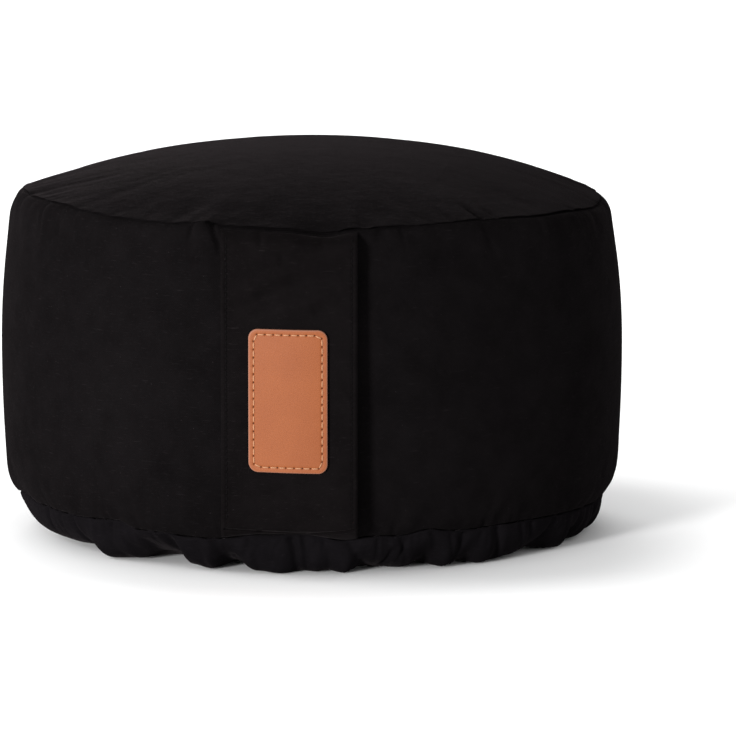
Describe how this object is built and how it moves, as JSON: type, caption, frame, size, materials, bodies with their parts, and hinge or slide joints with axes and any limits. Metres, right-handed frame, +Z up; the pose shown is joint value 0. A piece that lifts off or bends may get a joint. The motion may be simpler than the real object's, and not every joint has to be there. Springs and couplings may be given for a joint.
{
  "type": "zafu meditation cushion",
  "caption": "Round filled floor cushion for meditation, with a crowned top, a gathered skirt drawn under the base and a wide sewn-on carrying strap that bears a leather patch.",
  "frame": {"origin": "middle of the flat base, on the surface that the cushion rests on", "axes": "+Z up through the crown, -Y towards the carrying strap's side, +X to the right seen from that side"},
  "size_m": [0.3288, 0.341, 0.2046],
  "materials": {
    "cushion_cotton": "matt black plain-woven cotton with fine horizontal slubs",
    "skirt_cotton": "the same matt black cotton, gathered",
    "strap_cotton": "the same matt black cotton, doubled and topstitched along both long edges",
    "patch_leather": "smooth tan leather with a satin sheen, sewn round its rim with cream thread"
  },
  "bodies": {
    "root": {"filled_cushion": "cushion_cotton", "gathered_skirt": "skirt_cotton", "carry_strap": "strap_cotton", "leather_patch": "patch_leather"}
  },
  "joints": []
}
